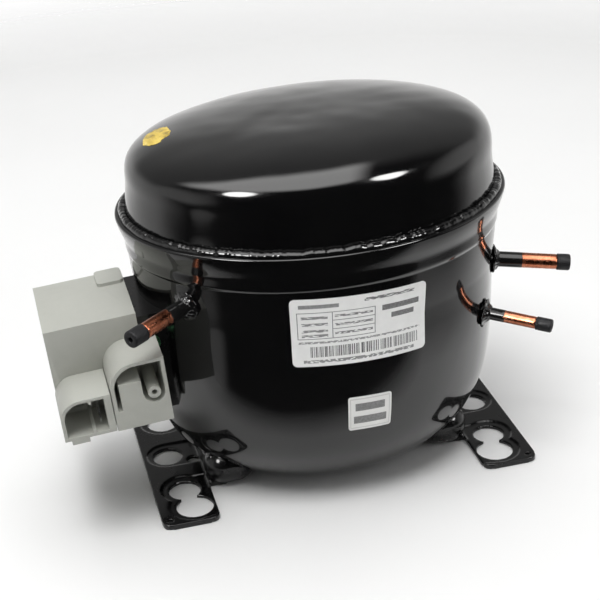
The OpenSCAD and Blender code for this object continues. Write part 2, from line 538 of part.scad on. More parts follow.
lower_shell();
upper_shell();
weld_bead();
left_foot();
right_foot();
suction_tube();
suction_collar();
suction_plug();
discharge_tube();
discharge_collar();
discharge_plug();
process_tube();
process_collar();
process_plug();
rating_label();
type_label();
paint_mark();
terminal_cup();
terminal_glass();
terminal_pins();
terminal_fence();
ground_screw();
electrical_cover();
relay_housing();
connector_housing();
relay_case();
ptc_pill();
pin_sockets();
overload_case();
spade_terminals();
spring_seats();
suspension_springs();
spring_caps();
cluster_plug();
motor_leads();
shock_loop();
stator_core();
main_winding();
start_winding();
stator_bolts();
rotor_core();
rotor_cage();
crankshaft();
oil_pickup();
thrust_washer();
crankcase();
piston();
wrist_pin();
connecting_rod();
crank_pin();
plate_gasket();
suction_reed();
valve_plate();
discharge_reed();
head_gasket();
cylinder_head();
head_bolts();
suction_muffler();
discharge_muffler();
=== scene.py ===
import math

import bmesh
import bpy
import numpy as np
from mathutils import Matrix, Vector, noise


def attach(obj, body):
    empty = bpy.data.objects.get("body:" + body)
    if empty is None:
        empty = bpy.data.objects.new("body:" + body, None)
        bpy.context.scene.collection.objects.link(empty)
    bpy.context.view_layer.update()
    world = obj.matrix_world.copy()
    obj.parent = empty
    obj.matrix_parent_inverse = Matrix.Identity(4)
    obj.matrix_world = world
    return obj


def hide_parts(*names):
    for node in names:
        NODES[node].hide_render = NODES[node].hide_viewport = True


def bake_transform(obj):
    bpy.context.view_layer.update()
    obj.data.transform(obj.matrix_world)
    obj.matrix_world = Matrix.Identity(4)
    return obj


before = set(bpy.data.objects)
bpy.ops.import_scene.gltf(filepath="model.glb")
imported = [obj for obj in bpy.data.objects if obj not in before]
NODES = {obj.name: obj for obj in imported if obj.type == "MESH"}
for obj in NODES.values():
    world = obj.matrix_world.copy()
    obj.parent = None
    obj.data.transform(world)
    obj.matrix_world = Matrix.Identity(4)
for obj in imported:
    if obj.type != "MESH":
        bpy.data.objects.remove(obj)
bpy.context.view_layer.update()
MM = 0.001
RNG = np.random.default_rng(7)
scene = bpy.context.scene
scene.view_settings.view_transform = "Standard"

# ---------------------------------------------------------------- materials


class Mat:
    """Small helper round one node tree; coordinates are the object's own, so nothing slides when a body moves."""

    def __init__(self, name):
        self.m = bpy.data.materials.new(name)
        self.m.use_nodes = True
        self.t = self.m.node_tree
        self.b = next(n for n in self.t.nodes if n.type == "BSDF_PRINCIPLED")
        self.co = self.t.nodes.new("ShaderNodeTexCoord").outputs["Object"]

    def set(self, **kw):
        for k, v in kw.items():
            self.b.inputs[k.replace("_", " ")].default_value = v
        return self

    def node(self, kind, **inputs):
        n = self.t.nodes.new(kind)
        for k, v in inputs.items():
            key = k.replace("_", " ")
            if isinstance(v, bpy.types.NodeSocket):
                self.t.links.new(v, n.inputs[key])
            else:
                n.inputs[key].default_value = v
        return n

    def link(self, a, b):
        self.t.links.new(a, self.b.inputs[b] if isinstance(b, str) else b)

    def math(self, op, a, b=0.0, c=None, clamp=False):
        n = self.t.nodes.new("ShaderNodeMath")
        n.operation = op
        n.use_clamp = clamp
        for i, v in enumerate((a, b) if c is None else (a, b, c)):
            if isinstance(v, bpy.types.NodeSocket):
                self.t.links.new(v, n.inputs[i])
            else:
                n.inputs[i].default_value = v
        return n.outputs[0]

    def stretch(self, sx, sy, sz, co=None):
        n = self.t.nodes.new("ShaderNodeMapping")
        n.inputs["Scale"].default_value = (sx, sy, sz)
        self.t.links.new(co or self.co, n.inputs["Vector"])
        return n.outputs[0]

    def noise(self, scale, detail=3.0, rough=0.55, co=None, distortion=0.0):
        n = self.t.nodes.new("ShaderNodeTexNoise")
        n.inputs["Scale"].default_value = scale
        n.inputs["Detail"].default_value = detail
        n.inputs["Roughness"].default_value = rough
        n.inputs["Distortion"].default_value = distortion
        self.t.links.new(co or self.co, n.inputs["Vector"])
        return n.outputs["Fac"]

    def ramp(self, fac, stops):
        n = self.t.nodes.new("ShaderNodeValToRGB")
        r = n.color_ramp
        while len(r.elements) > 1:
            r.elements.remove(r.elements[-1])
        r.elements[0].position = stops[0][0]
        r.elements[0].color = tuple(stops[0][1]) + (1,)
        for p, c in stops[1:]:
            e = r.elements.new(p)
            e.color = tuple(c) + (1,)
        self.t.links.new(fac, n.inputs["Fac"])
        return n.outputs["Color"]

    def grey(self, fac, stops):
        return self.ramp(fac, [(p, (v, v, v)) for p, v in stops])

    def mix(self, fac, a, b):
        n = self.t.nodes.new("ShaderNodeMix")
        n.data_type = "RGBA"
        for s, v in (("Factor", fac), ("A", a), ("B", b)):
            i = next(x for x in n.inputs if x.name == s and (x.type == "RGBA" or s == "Factor"))
            if isinstance(v, bpy.types.NodeSocket):
                self.t.links.new(v, i)
            else:
                i.default_value = tuple(v) + (1,) if s != "Factor" and len(v) == 3 else v
        return next(o for o in n.outputs if o.type == "RGBA")

    def bump(self, height, strength, distance, before=None):
        n = self.t.nodes.new("ShaderNodeBump")
        n.inputs["Strength"].default_value = strength
        n.inputs["Distance"].default_value = distance
        self.t.links.new(height, n.inputs["Height"])
        if before:
            self.t.links.new(before, n.inputs["Normal"])
        self.t.links.new(n.outputs[0], self.b.inputs["Normal"])
        return n.outputs[0]


def scaled(c, k):
    return tuple(min(1, x * k) for x in c)


def plain(name, colour, rough, metallic=0.0, vary=0.12, scale=90, fine=900, bump=0.15, depth=0.0001, r_vary=0.3, **kw):
    """A worn, uneven version of one finish: broad tone, fine mottling, uneven gloss and a fine surface grain."""
    m = Mat(name).set(Metallic=metallic, **kw)
    broad = m.noise(scale, 4, 0.6)
    small = m.noise(fine, 3, 0.6)
    c1 = m.ramp(broad, [(0.3, scaled(colour, 1 - vary)), (0.7, scaled(colour, 1 + vary))])
    c2 = m.ramp(small, [(0.35, scaled(colour, 1 - vary * 0.7)), (0.65, scaled(colour, 1 + vary * 0.7))])
    m.link(m.mix(0.4, c1, c2), "Base Color")
    m.link(m.grey(m.noise(scale * 1.7, 4, 0.6), [(0.3, rough * (1 - r_vary)), (0.7, min(1, rough * (1 + r_vary)))]), "Roughness")
    m.bump(small, bump, depth)
    return m


def black_paint(name, rough=0.16, peel=0.10, coat=1.0, dust=0.5):
    m = Mat(name).set(Specular_IOR_Level=0.14, Coat_Weight=coat, Coat_Roughness=0.03, Coat_IOR=1.5)
    cloud = m.noise(22, 5, 0.6)
    base = m.ramp(cloud, [(0.35, (0.0022, 0.0022, 0.0025)), (0.7, (0.0045, 0.0044, 0.0045))])
    speck = m.grey(m.noise(1500, 2, 0.5), [(0.70, 0.0), (0.76, dust)])
    patch = m.grey(m.noise(45, 3, 0.6), [(0.45, 0.0), (0.75, 0.35)])
    fac = m.math("MULTIPLY", speck, patch)
    m.link(m.mix(fac, base, (0.09, 0.085, 0.08)), "Base Color")
    m.link(m.grey(m.noise(60, 4, 0.65), [(0.3, rough * 0.75), (0.75, rough * 1.5)]), "Roughness")
    b = m.bump(m.noise(330, 2, 0.5), peel, 0.00006)
    m.link(b, "Coat Normal")
    return m


shell_paint = black_paint("shell_paint_black")
foot_paint = black_paint("foot_paint_black", rough=0.28, peel=0.3, coat=0.6, dust=0.8)
bead_paint = black_paint("weld_bead_paint", rough=0.2, peel=0.5)


def copper_tube_paint(name, painted):
    """Bare copper past `painted` mm along the tube, shell paint with a ragged edge before it."""
    m = Mat(name)
    axial = m.t.nodes.new("ShaderNodeAttribute")
    axial.attribute_name = "axial"
    ax = axial.outputs["Fac"]
    ragged = m.math("MULTIPLY_ADD", m.noise(420, 3, 0.6), 2.6, -1.3 - painted)
    mask = m.math("ADD", ax, ragged)
    mask = m.math("MULTIPLY_ADD", mask, 4.0, 0.5, clamp=True)
    cop = m.ramp(m.noise(170, 5, 0.65), [(0.25, (0.34, 0.105, 0.055)), (0.5, (0.50, 0.175, 0.095)), (0.75, (0.66, 0.29, 0.18))])
    tarnish = m.grey(m.noise(75, 4, 0.6), [(0.5, 0.0), (0.85, 0.35)])
    cop = m.mix(tarnish, cop, (0.22, 0.075, 0.045))
    m.link(m.mix(mask, (0.008, 0.008, 0.008), cop), "Base Color")
    m.link(mask, "Metallic")
    rg = m.grey(m.noise(260, 4, 0.6), [(0.3, 0.2), (0.7, 0.36)])
    m.link(m.mix(mask, (0.14, 0.14, 0.14), rg), "Roughness")
    scratches = m.noise(700, 3, 0.6, co=m.stretch(1, 1, 0.25))
    m.bump(scratches, 0.12, 0.00008)
    return m


copper = plain("copper_bare", (0.66, 0.30, 0.19), 0.3, 1.0, vary=0.25, scale=170, fine=800, bump=0.15)
rubber = plain("plug_rubber_grey", (0.011, 0.011, 0.012), 0.5, 0, vary=0.35, scale=260, fine=1900, bump=0.3, r_vary=0.2, Specular_IOR_Level=0.3)


def moulding(name, colour=(0.425, 0.43, 0.392)):
    m = Mat(name).set(Specular_IOR_Level=0.45)
    flow = m.noise(26, 4, 0.55, co=m.stretch(1, 0.5, 1.6))
    c = m.ramp(flow, [(0.25, scaled(colour, 0.93)), (0.75, scaled(colour, 1.05))])
    smudge = m.grey(m.noise(75, 5, 0.62), [(0.56, 0.0), (0.8, 0.3)])
    c = m.mix(smudge, c, scaled(colour, 0.8))
    speck = m.grey(m.noise(1900, 1, 0.5), [(0.72, 0.0), (0.78, 0.35)])
    m.link(m.mix(speck, c, scaled(colour, 0.55)), "Base Color")
    m.link(m.grey(m.noise(110, 4, 0.6), [(0.3, 0.34), (0.75, 0.52)]), "Roughness")
    m.bump(m.noise(2600, 2, 0.5), 0.22, 0.00005)
    return m


grey_plastic = moulding("grey_moulding")
steel_plated = plain("plated_steel", (0.60, 0.60, 0.585), 0.27, 1.0, vary=0.13, scale=120, fine=1100, bump=0.12)
steel_spring = plain("spring_steel", (0.34, 0.34, 0.35), 0.32, 1.0, vary=0.2, scale=240, fine=1400, bump=0.2)
steel_ground = plain("ground_steel", (0.66, 0.66, 0.67), 0.18, 1.0, vary=0.1, scale=150, fine=1600, bump=0.1)
iron_grey = plain("grey_iron", (0.19, 0.185, 0.18), 0.52, 0.85, vary=0.25, scale=130, fine=1000, bump=0.5, depth=0.0003)
alloy_cast = plain("cast_alloy", (0.62, 0.63, 0.63), 0.42, 1.0, vary=0.14, scale=130, fine=900, bump=0.4, depth=0.0002)
bronze = plain("thrust_bronze", (0.62, 0.44, 0.20), 0.3, 1.0, vary=0.2, scale=200, fine=1400, bump=0.15)
phenolic = plain("dark_phenolic", (0.028, 0.027, 0.028), 0.42, 0, vary=0.4, scale=200, fine=1500, bump=0.3)
ceramic = plain("ptc_ceramic", (0.085, 0.078, 0.07), 0.6, 0, vary=0.3, scale=300, fine=2600, bump=0.35)
brass = plain("socket_brass", (0.72, 0.53, 0.24), 0.28, 1.0, vary=0.18, scale=250, fine=1700, bump=0.15)
nylon = plain("cap_plastic", (0.62, 0.60, 0.54), 0.4, 0, vary=0.08, scale=140, fine=1300, bump=0.18)
muffler = plain("muffler_plastic", (0.55, 0.52, 0.44), 0.42, 0, vary=0.1, scale=100, fine=1200, bump=0.2)
fibre = plain("gasket_fibre", (0.13, 0.16, 0.14), 0.75, 0, vary=0.3, scale=260, fine=2600, bump=0.4)
green_zinc = plain("screw_green", (0.10, 0.30, 0.14), 0.3, 0.9, vary=0.22, scale=300, fine=1500, bump=0.2)
glass = plain("seal_glass", (0.05, 0.13, 0.11), 0.12, 0, vary=0.3, scale=500, fine=2400, bump=0.08, Coat_Weight=0.6)


def laminated(name):
    m = Mat(name).set(Metallic=0.9)
    z = m.noise(1.0, 0, 0.5, co=m.stretch(30, 30, 2000))
    stripe = m.t.nodes.new("ShaderNodeTexWave")
    stripe.bands_direction = "Z"
    stripe.inputs["Scale"].default_value = 320
    stripe.inputs["Distortion"].default_value = 0.6
    m.t.links.new(m.co, stripe.inputs["Vector"])
    c = m.ramp(z, [(0.3, (0.13, 0.13, 0.14)), (0.7, (0.34, 0.34, 0.35))])
    rust = m.grey(m.noise(110, 4, 0.6), [(0.58, 0), (0.8, 0.45)])
    m.link(m.mix(rust, c, (0.16, 0.09, 0.05)), "Base Color")
    m.link(m.grey(m.noise(200, 3, 0.6), [(0.3, 0.35), (0.7, 0.6)]), "Roughness")
    m.bump(stripe.outputs["Fac"], 0.5, 0.00015)
    return m


def wound(name, colour):
    """Enamelled wire: fine wandering strands with a varnish sheen, coloured with painted shade in the grooves between
    strands and a painted highlight on their crests.
    """
    m = Mat(name).set(Metallic=0.55, Coat_Weight=0.5, Coat_Roughness=0.12)
    v = m.t.nodes.new("ShaderNodeTexWave")
    v.bands_direction = "DIAGONAL"
    v.inputs["Scale"].default_value = 420
    v.inputs["Distortion"].default_value = 5
    v.inputs["Detail"].default_value = 2
    m.t.links.new(m.stretch(1, 1, 0.6), v.inputs["Vector"])
    # painted shade and painted highlight: the strand colour runs from dark in the grooves to light on the crests,
    # following the same wave that drives the bump
    c = m.ramp(v.outputs["Fac"], [(0.1, scaled(colour, 0.35)), (0.55, colour), (0.95, scaled(colour, 1.35))])
    m.link(m.mix(m.grey(m.noise(90, 4, 0.6), [(0.5, 0), (0.8, 0.5)]), c, scaled(colour, 0.5)), "Base Color")
    m.link(m.grey(m.noise(160, 3, 0.6), [(0.3, 0.28), (0.7, 0.48)]), "Roughness")
    m.bump(v.outputs["Fac"], 0.8, 0.0003)
    return m


lams = laminated("lamination")
wire_main = wound("winding_wire_main", (0.50, 0.17, 0.07))
wire_start = wound("winding_wire_start", (0.60, 0.27, 0.10))
leads = plain("lead_insulation", (0.035, 0.07, 0.24), 0.45, 0, vary=0.2, scale=250, fine=1600, bump=0.35)

FINISH = {
    "terminal_cup": (steel_plated, "plated_steel"), "terminal_glass": (glass, "seal_glass"),
    "terminal_pins": (steel_plated, "plated_steel"), "terminal_fence": (foot_paint, "weld_paint"),
    "ground_screw": (green_zinc, "screw_green"), "relay_case": (phenolic, "dark_phenolic"),
    "ptc_pill": (ceramic, "ptc_ceramic"), "pin_sockets": (brass, "socket_brass"),
    "overload_case": (phenolic, "dark_phenolic"), "spade_terminals": (steel_plated, "plated_steel"),
    "spring_seats": (steel_plated, "plated_steel"), "suspension_springs": (steel_spring, "spring_steel"),
    "spring_caps": (nylon, "cap_plastic"), "cluster_plug": (nylon, "cap_plastic"),
    "motor_leads": (leads, "lead_insulation"), "shock_loop": (copper, "copper"),
    "stator_core": (lams, "lamination"), "main_winding": (wire_main, "winding_wire"),
    "start_winding": (wire_start, "winding_wire"), "stator_bolts": (steel_plated, "plated_steel"),
    "rotor_core": (lams, "lamination"), "rotor_cage": (alloy_cast, "cast_alloy"),
    "crankshaft": (steel_ground, "ground_steel"), "oil_pickup": (steel_plated, "plated_steel"),
    "thrust_washer": (bronze, "thrust_bronze"), "crankcase": (iron_grey, "grey_iron"),
    "piston": (iron_grey, "grey_iron"), "wrist_pin": (steel_ground, "ground_steel"),
    "connecting_rod": (alloy_cast, "cast_alloy"), "crank_pin": (steel_ground, "ground_steel"),
    "plate_gasket": (fibre, "gasket_fibre"), "suction_reed": (steel_spring, "spring_steel"),
    "valve_plate": (steel_ground, "ground_steel"), "discharge_reed": (steel_spring, "spring_steel"),
    "head_gasket": (fibre, "gasket_fibre"), "cylinder_head": (alloy_cast, "cast_alloy"),
    "head_bolts": (steel_plated, "plated_steel"), "suction_muffler": (muffler, "muffler_plastic"),
    "discharge_muffler": (steel_plated, "plated_steel"),
}
for node_name, (mat, slot_name) in FINISH.items():
    o = NODES[node_name]
    o.data.materials.clear()
    o.data.materials.append(mat.m)

# ---------------------------------------------------------------- mesh helpers


def make(name, verts, faces, mat, body, nodes=(), smooth=40, attrs=None):
    me = bpy.data.meshes.new(name)
    me.from_pydata([tuple(v) for v in verts], [], [tuple(int(i) for i in f) for f in faces])
    me.validate()
    ob = bpy.data.objects.new(name, me)
    scene.collection.objects.link(ob)
    for k, (domain, vals) in (attrs or {}).items():
        a = me.attributes.new(k, "FLOAT", domain)
        a.data.foreach_set("value", np.asarray(vals, np.float32))
    me.materials.append(mat.m)
    bm = bmesh.new()
    bm.from_mesh(me)
    bmesh.ops.recalc_face_normals(bm, faces=bm.faces)
    bm.to_mesh(me)
    bm.free()
    finish_piece(ob, body, nodes, smooth)
    return ob


def finish_piece(ob, body, nodes, smooth):
    if smooth:
        for p in ob.data.polygons:
            p.use_smooth = True
        if smooth < 180:
            ob.data.set_sharp_from_angle(angle=math.radians(smooth))
    if isinstance(body, str):
        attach(ob, body)
    if nodes:
        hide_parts(*nodes)


def rings(rows, closed=False, cap_start=None, cap_end=None):
    """Faces and vertices of rings of equal length, with an optional pole point at either end."""
    m = len(rows[0])
    v = [p for r in rows for p in r]
    f = []
    k = len(rows)
    for j in range(k if closed else k - 1):
        for i in range(m):
            a, b = j * m + i, j * m + (i + 1) % m
            c, d = ((j + 1) % k) * m + (i + 1) % m, ((j + 1) % k) * m + i
            f.append((a, b, c, d))
    for pole, row in ((cap_start, 0), (cap_end, k - 1)):
        if pole is not None:
            v.append(pole)
            n = len(v) - 1
            for i in range(m):
                f.append((row * m + i, row * m + (i + 1) % m, n))
    return v, f


def resample(pts, n):
    pts = np.asarray(pts, float)
    s = np.r_[0, np.cumsum(np.linalg.norm(np.diff(pts, axis=0), axis=1))]
    t = np.linspace(0, s[-1], n)
    return np.stack([np.interp(t, s, pts[:, i]) for i in range(pts.shape[1])], 1)


def smooth_curve(pts, per=6):
    pts = [np.asarray(p, float) for p in pts]
    out = []
    for i in range(len(pts) - 1):
        p0, p1, p2, p3 = pts[max(i - 1, 0)], pts[i], pts[i + 1], pts[min(i + 2, len(pts) - 1)]
        for j in range(per):
            t = j / per
            out.append(0.5 * (2 * p1 + (p2 - p0) * t + (2 * p0 - 5 * p1 + 4 * p2 - p3) * t * t + (3 * p1 - p0 - 3 * p2 + p3) * t ** 3))
    out.append(pts[-1])
    return out


def wobble(p, scale, seed=0.0):
    return noise.noise(Vector(p) / scale + Vector((seed, seed * 1.7, -seed)))


# ---------------------------------------------------------------- shell (same formulas as the CAD)

SHELL_A, SHELL_B, SLOPE, ZS, POWER, BOWL_Z, SHEET = 98.0, 79.2, 0.08, 103.0, 3.75, 0.4, 3.0
CAP_A, CAP_B, CAP_Z, SHOULDER, DOME_H, DOME_P, RIM_Z = 94.3, 77.0, 139.0, 164.0, 25.5, 3.3, 146.0
N = 320
ANG = np.linspace(0, 2 * np.pi, N, endpoint=False)


def wall_a(z):
    return SHELL_A - SLOPE * (141 - max(z, ZS))


def wall_b(z):
    return SHELL_B - SLOPE * (141 - max(z, ZS))


def crown(z):
    return 1.0 if z >= ZS else max(1 - ((ZS - z) / (ZS - BOWL_Z)) ** POWER, 0) ** (1 / POWER)


def side_pt(t, z, o=0.0):
    k = crown(z)
    return np.array([(wall_a(z) * k + o) * math.cos(t), (wall_b(z) * k + o) * math.sin(t), z])


def dome_pt(t, p, o=0.0):
    c, s = math.cos(p) ** (2 / DOME_P), math.sin(p) ** (2 / DOME_P)
    x, y = (CAP_A + o) * c * math.cos(t), (CAP_B + o) * c * math.sin(t)
    return np.array([x, y, SHOULDER + (DOME_H + o) * s * (1 + 0.13 * x / 100 - 0.15 * y / 100)])


def oval_rows(profile, ripple=None):
    rows = []
    for a, b, z in profile:
        row = []
        for t in ANG:
            p = np.array([a * math.cos(t), b * math.sin(t), z])
            if ripple:
                n = np.array([math.cos(t) / max(a, 1), math.sin(t) / max(b, 1), 0])
                n /= np.linalg.norm(n)
                p = p + n * ripple(p)
            row.append(p * MM)
        rows.append(row)
    return rows


def body_ripple(p):
    return 0.16 * wobble(p * np.array([1, 1, 0.6]), 34, 3.1) + 0.04 * wobble(p, 12, 9.0)


def bowl_profile(inset, n):
    q = []
    for p in np.radians(np.linspace(89.97, 0.5, 500)):
        c, s = math.cos(p) ** (2 / POWER), math.sin(p) ** (2 / POWER)
        q.append(((wall_a(ZS) - inset) * c, (wall_b(ZS) - inset) * c, ZS - (ZS - BOWL_Z - inset) * s))
    return [tuple(x) for x in resample(q, n)]


outer = bowl_profile(0, 64)
outer += [(wall_a(z), wall_b(z), z) for z in (103, 106, 109, 112, 115, 118, 121, 124, 126.2)]
outer += [tuple(x) for x in smooth_curve([
    (wall_a(126.9), wall_b(126.9), 126.9), (wall_a(127.6) + 0.28, wall_b(127.6) + 0.28, 127.6),
    (wall_a(128.6) + 0.5, wall_b(128.6) + 0.5, 128.6), (wall_a(131) + 0.5, wall_b(131) + 0.5, 131),
    (wall_a(134) + 0.52, wall_b(134) + 0.52, 134), (SHELL_A + 0.75, SHELL_B + 0.55, 136.4),
    (SHELL_A + 1.7, SHELL_B + 1.25, 139), (SHELL_A + 2.7, SHELL_B + 1.9, 142), (SHELL_A + 3.25, SHELL_B + 2.3, 144.3),
    (SHELL_A + 3.35, SHELL_B + 2.4, 145.2), (SHELL_A + 3.1, SHELL_B + 2.15, 145.8), (SHELL_A + 2.5, SHELL_B + 1.6, 146.1),
    (SHELL_A + 1.4, SHELL_B + 0.6, 146.0), (SHELL_A + 0.8, SHELL_B, 145.4), (SHELL_A + 0.1, SHELL_B - 0.7, 142)], 3)]
inner = [(SHELL_A - 1.2, SHELL_B - 1.5, 138), (wall_a(134) - SHEET, wall_b(134) - SHEET, 133), (wall_a(118) - SHEET, wall_b(118) - SHEET, 118)]
inner += [tuple(x) for x in bowl_profile(SHEET, 34)[::-1]]
rows = oval_rows(outer, body_ripple) + oval_rows(inner)
v, f = rings(rows, cap_start=np.array([0, 0, BOWL_Z]) * MM, cap_end=np.array([0, 0, BOWL_Z + SHEET]) * MM)
lower = make("lower_shell_drawn", v, f, shell_paint, "casing", ["lower_shell"], smooth=55)

# opening for the terminal cup, cut through the drawn wall
TILT = math.radians(-3.9)
BOX_AT = np.array([-98.4, -10.0, 79.4])


def box_world(p):
    x, y, z = p
    return (BOX_AT + np.array([math.cos(TILT) * x + math.sin(TILT) * z, y, -math.sin(TILT) * x + math.cos(TILT) * z])) * MM


def disc_row(x, r, n=48):
    return [box_world((x, r * math.cos(a), r * math.sin(a))) for a in np.linspace(0, 2 * np.pi, n, endpoint=False)]


cv, cf = rings([disc_row(-6, 15.0), disc_row(16, 15.0)], cap_start=box_world((-6, 0, 0)), cap_end=box_world((16, 0, 0)))
cme = bpy.data.meshes.new("cutter")
cme.from_pydata([tuple(p) for p in cv], [], cf)
cutter = bpy.data.objects.new("cutter", cme)
scene.collection.objects.link(cutter)
bm = bmesh.new()
bm.from_mesh(cme)
bmesh.ops.recalc_face_normals(bm, faces=bm.faces)
bm.to_mesh(cme)
bm.free()
mod = lower.modifiers.new("hole", "BOOLEAN")
mod.object = cutter
mod.solver = "EXACT"
mod.operation = "DIFFERENCE"
bpy.context.view_layer.update()
new_me = bpy.data.meshes.new_from_object(lower.evaluated_get(bpy.context.evaluated_depsgraph_get()))
lower.modifiers.clear()
lower.data = new_me
new_me.set_sharp_from_angle(angle=math.radians(55))
bpy.data.objects.remove(cutter)


def dome_ripple(p):
    return 0.30 * wobble(p * np.array([1, 1, 0.8]), 30, 1.3) + 0.10 * wobble(p, 13, 5.5)


def dome_rows(o, n, ripple=None):
    q = [(math.cos(p) ** (2 / DOME_P), math.sin(p) ** (2 / DOME_P)) for p in np.radians(np.linspace(89.98, 0, 900))]
    q = resample(np.array(q) * [90, DOME_H], n) / [90, DOME_H]
    out = []
    for c, s in q:
        row = []
        for t in ANG:
            x, y = (CAP_A + o) * c * math.cos(t), (CAP_B + o) * c * math.sin(t)
            p = np.array([x, y, SHOULDER + (DOME_H + o) * s * (1 + 0.13 * x / 100 - 0.15 * y / 100)])
            if ripple:
                g = np.array([math.cos(t) * c ** 2, math.sin(t) * c ** 2, 0.25 + s])
                p = p + g / np.linalg.norm(g) * ripple(p)
            row.append(p * MM)
        out.append(row)
    return out


skirt = [(CAP_A + 0.35 * k / 4 + 0.95 * (k / 4) ** 1.5, CAP_B + 0.15 * k / 4, SHOULDER - 12 * k / 4) for k in range(1, 5)]
skirt += [(CAP_A + 1.6, CAP_B + 0.18, 146), (CAP_A + 1.8, CAP_B + 0.2, CAP_Z + 0.4), (CAP_A + 1.5, CAP_B, CAP_Z),
          (CAP_A + 1.8 - SHEET, CAP_B + 0.2 - SHEET, CAP_Z), (CAP_A + 1.3 - SHEET, CAP_B + 0.15 - SHEET, 152)]
rows = dome_rows(0, 66, dome_ripple) + oval_rows(skirt[:5], dome_ripple) + oval_rows(skirt[5:]) + dome_rows(-SHEET, 26)[::-1]
v, f = rings(rows, cap_start=np.array([0, 0, SHOULDER + DOME_H]) * MM, cap_end=np.array([0, 0, SHOULDER + DOME_H - SHEET]) * MM)
make("upper_shell_drawn", v, f, shell_paint, "casing", ["upper_shell"], smooth=60)

# weld bead: an uneven, lumpy fillet of overlapping ripples in the groove between the two shells
rows = []
NB = 900
sec = np.linspace(0, 2 * np.pi, 14, endpoint=False)
for i in range(NB):
    t = 2 * np.pi * i / NB
    arc = t * 88
    row = []
    base = np.array([97.35 * math.cos(t), 78.6 * math.sin(t), 146.3])
    nrm = np.array([math.cos(t) / 97, math.sin(t) / 78, 0])
    nrm /= np.linalg.norm(nrm)
    lump = 0.55 * wobble(base, 5.0, 2.0) + 0.5 * wobble(base, 2.3, 7.0)
    scallop = 0.30 * (1 - abs(((arc / 2.6) % 1) * 2 - 1)) ** 0.7
    w = 2.25 + 0.5 * wobble(base, 9, 4.4)
    for s in sec:
        up = max(math.sin(s), 0)
        r = np.array([math.cos(s) * w, math.sin(s) * (2.5 + (lump + scallop) * up)])
        pit = 0.28 * wobble(base + nrm * r[0] + [0, 0, r[1]], 1.3, 11.0) * up
        row.append((base + nrm * (r[0] + 0.35 * lump) + [0, 0, r[1] + pit]) * MM)
    rows.append(row)
v, f = rings(rows, closed=True)
make("weld_bead_rippled", v, f, bead_paint, "casing", ["weld_bead"], smooth=70)


# ---------------------------------------------------------------- feet: pressed sheet with soft edges


def copy_mesh(node, name):
    me = NODES[node].data.copy()
    me.name = name
    me.materials.clear()
    ob = bpy.data.objects.new(name, me)
    scene.collection.objects.link(ob)
    return ob


def apply_mods(ob):
    bpy.context.view_layer.update()
    me = bpy.data.meshes.new_from_object(ob.evaluated_get(bpy.context.evaluated_depsgraph_get()))
    ob.modifiers.clear()
    ob.data = me


for side in ("left", "right"):
    ob = copy_mesh(side + "_foot", side + "_foot_pressed")
    r = ob.modifiers.new("remesh", "REMESH")
    r.mode = "VOXEL"
    r.voxel_size = 0.6 * MM
    s = ob.modifiers.new("soft", "SMOOTH")
    s.factor = 0.5
    s.iterations = 5
    apply_mods(ob)
    ob.data.materials.clear()
    ob.data.materials.append(foot_paint.m)
    co = np.zeros(len(ob.data.vertices) * 3)
    ob.data.vertices.foreach_get("co", co)
    co = co.reshape(-1, 3)
    for p in co:
        p[2] += 0.00012 * wobble(p / MM, 26, 6.0)
    ob.data.vertices.foreach_set("co", co.ravel())
    finish_piece(ob, "casing", [side + "_foot"], 180)


# ---------------------------------------------------------------- tubes, collars, plugs


def axis_frame(p, az, drop):
    az, dr = math.radians(az), math.radians(drop)
    d = np.array([math.cos(dr) * math.cos(az), math.cos(dr) * math.sin(az), -math.sin(dr)])
    u = np.array([-math.sin(az), math.cos(az), 0.0])
    w = np.cross(d, u)
    return np.array(p, float), d, u, w


def lathe(fr, profile, n=72, wob=None):
    p, d, u, w = fr
    rows, ax = [], []
    for l, r in profile:
        row = []
        for i in range(n):
            a = 2 * np.pi * i / n
            rr = r + (wob(l, a, r) if wob else 0)
            row.append((p + d * l + (u * math.cos(a) + w * math.sin(a)) * rr) * MM)
            ax.append(l)
        rows.append(row)
    return rows, ax


